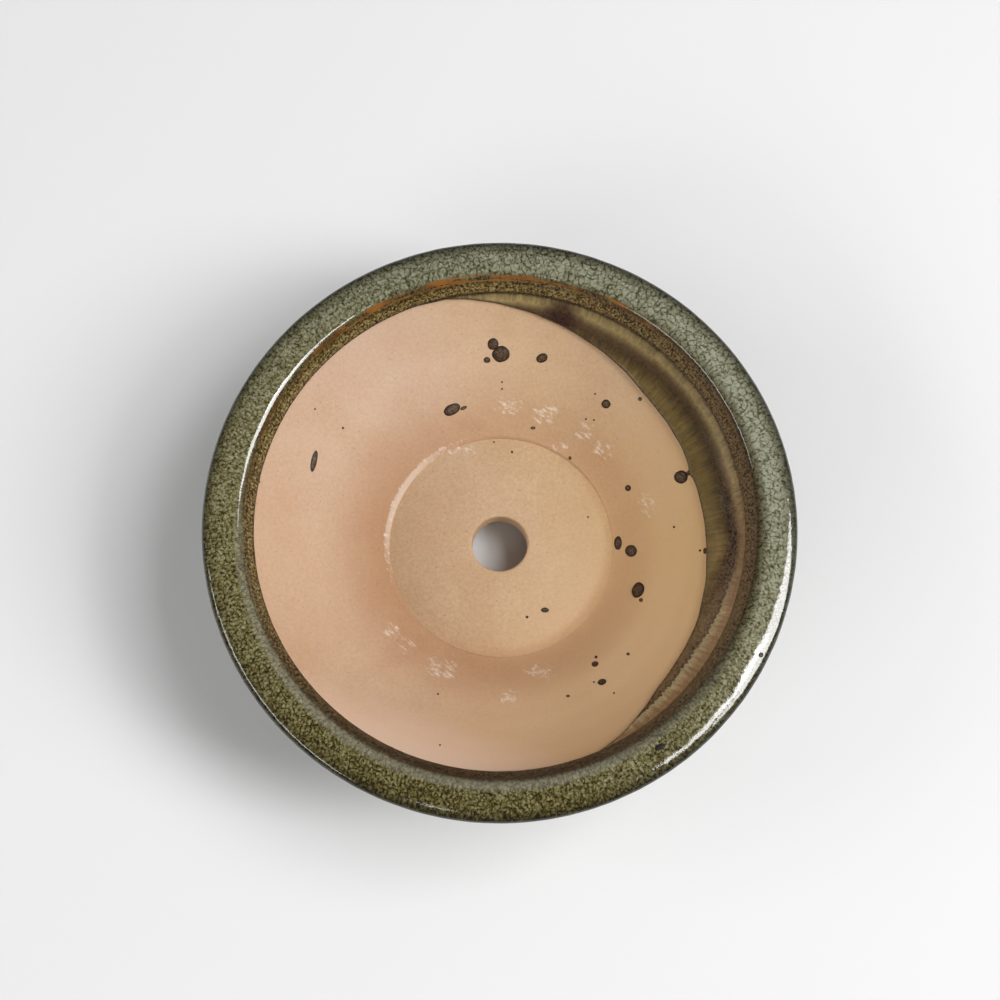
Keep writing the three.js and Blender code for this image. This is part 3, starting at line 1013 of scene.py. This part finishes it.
def makeDrop(bm, rise, x, y, width, height, turn, topSheen):
    point, normal = castPixel(x, y)[:2]
    lean = math.radians(turn)
    halves = []
    for half, tilt in ((width / 2, lean), (height / 2, lean - math.pi / 2)):
        aside = Vector((math.cos(tilt), math.sin(tilt))) * half
        ahead = castPixel(x + aside.x, y + aside.y)[0]
        back = castPixel(x - aside.x, y - aside.y)[0]
        halves.append((ahead - back) / 2)
    tall = spatter["rise"] * min(half.length for half in halves)
    place = Matrix((halves[0], halves[1], normal * tall)).transposed().to_4x4()
    place.translation = point
    turns = [i * math.pi / 2 / spatter["domeRows"] for i in range(spatter["domeRows"])]
    outline = [Vector((math.sin(t), 0, math.cos(t) ** spatter["bluntness"])) for t in turns]
    root = Vector((0, 0, -spatter["rootDepth"]))
    outline += [Vector((1, 0, 0)), root + Vector((spatter["rootWidth"], 0, 0)), root]
    verts, edges = chainOf(bm, outline, closed=False)
    bmesh.ops.spin(
        bm, geom=verts + edges, axis=(0, 0, 1), angle=math.tau, steps=spatter["steps"], use_merge=True)
    fresh = [v for v in bm.verts if not v.tag]
    wobble = random.uniform(0, 50)
    for vert in fresh:
        vert.tag = True
        vert[rise] = topSheen * max(vert.co.z, 0)
        flat = vert.co.xy * spatter["wobbleScale"]
        swell = 1 + spatter["wobble"] * noise.noise(Vector((*flat, wobble)))
        vert.co = place @ Vector((vert.co.x * swell, vert.co.y * swell, vert.co.z))


def makeSpatter():
    random.seed(spatter["seed"])
    bm = bmesh.new()
    rise = bm.verts.layers.float.new("rise")
    for spotRow in spatter["spots"] + spatter["drip"]:
        makeDrop(bm, rise, *spotRow, topSheen=1)
    for pitRow in spatter["pits"]:
        makeDrop(bm, rise, *pitRow, topSheen=0)
    bmesh.ops.remove_doubles(bm, verts=bm.verts, dist=1e-6)
    bmesh.ops.recalc_face_normals(bm, faces=bm.faces)
    finishPiece("glaze_spatter", bm, beadGlaze)


makeSpatter()


# Floor and light
stage = {
    "floorSize": 6.0,  # metres
    "floorColour": "#ebebeb",
    "worldColour": "#ffffff",
    "worldStrength": 0.14,
    "lightFar": 2.4,
    "glossFar": 2.2,  # lights that only the glaze mirrors stand in front of the rest
}


def makeFloor():
    bm = bmesh.new()
    bmesh.ops.create_grid(bm, x_segments=1, y_segments=1, size=stage["floorSize"] / 2)
    mesh = bpy.data.meshes.new("studio_floor")
    bm.to_mesh(mesh)
    bm.free()
    material, shader = newMaterial("white_studio_sheet", roughness=0.9, ior=1.45)
    shader.inputs["Base Color"].default_value = hexColour(stage["floorColour"])
    mesh.materials.append(material)
    floor = bpy.data.objects.new("studio_floor", mesh)
    bpy.context.scene.collection.objects.link(floor)


# Each light: azimuth and elevation in degrees, width and height in metres, its turn about its own axis, the
# brightness of its face, and True if it only shows as a mirrored shape, False if it only lights matt faces
lights = {
    "key": (-14, 38, 0.7, 1.0, 0, 13.7, False),
    "gleam": (-7, 43, 1.1, 1.1, 45, 13.0, True),
    "wing": (-24, 56, 0.85, 0.36, 0, 13.0, True),
    "right": (8, 56, 1.4, 1.0, 0, 6.5, False),
    "front": (262, 50, 1.6, 0.9, 0, 0.95, False),
    "window": (225, 30, 1.4, 0.7, 0, 4.1, False),
    "left": (180, 30, 1.2, 0.7, 0, 3.7, False),
    "strip": (205, 31, 1.9, 0.2, 0, 8.0, True),
    "glint": (253, 54, 0.14, 0.07, 0, 18.0, True),
}


def makeLight(name, azimuth, elevation, width, height, turn, glow, mirrored):
    data = bpy.data.lights.new(name, "AREA")
    data.shape = "RECTANGLE"
    data.size = width
    data.size_y = height
    data.energy = math.pi * width * height * glow  # watts
    light = bpy.data.objects.new(name, data)
    bpy.context.scene.collection.objects.link(light)
    tilt = math.radians(elevation)
    way = onRing(math.cos(tilt), math.radians(azimuth), math.sin(tilt))
    light.location = Vector((0, 0, lipEdge.z)) + way * stage["glossFar" if mirrored else "lightFar"]
    roll = Matrix.Rotation(math.radians(turn), 3, "Z").to_quaternion()
    light.rotation_euler = ((-way).to_track_quat("-Z", "Y") @ roll).to_euler()
    light.visible_glossy = mirrored
    light.visible_diffuse = not mirrored


makeFloor()
for lightName, lightFacts in lights.items():
    makeLight(lightName, *lightFacts)
world = bpy.data.worlds.new("studio")
world.use_nodes = True
backdrop = world.node_tree.nodes["Background"]
backdrop.inputs["Color"].default_value = hexColour(stage["worldColour"])
backdrop.inputs["Strength"].default_value = stage["worldStrength"]
bpy.context.scene.world = world
bpy.context.scene.view_settings.view_transform = "Standard"
print("floor and lights placed")
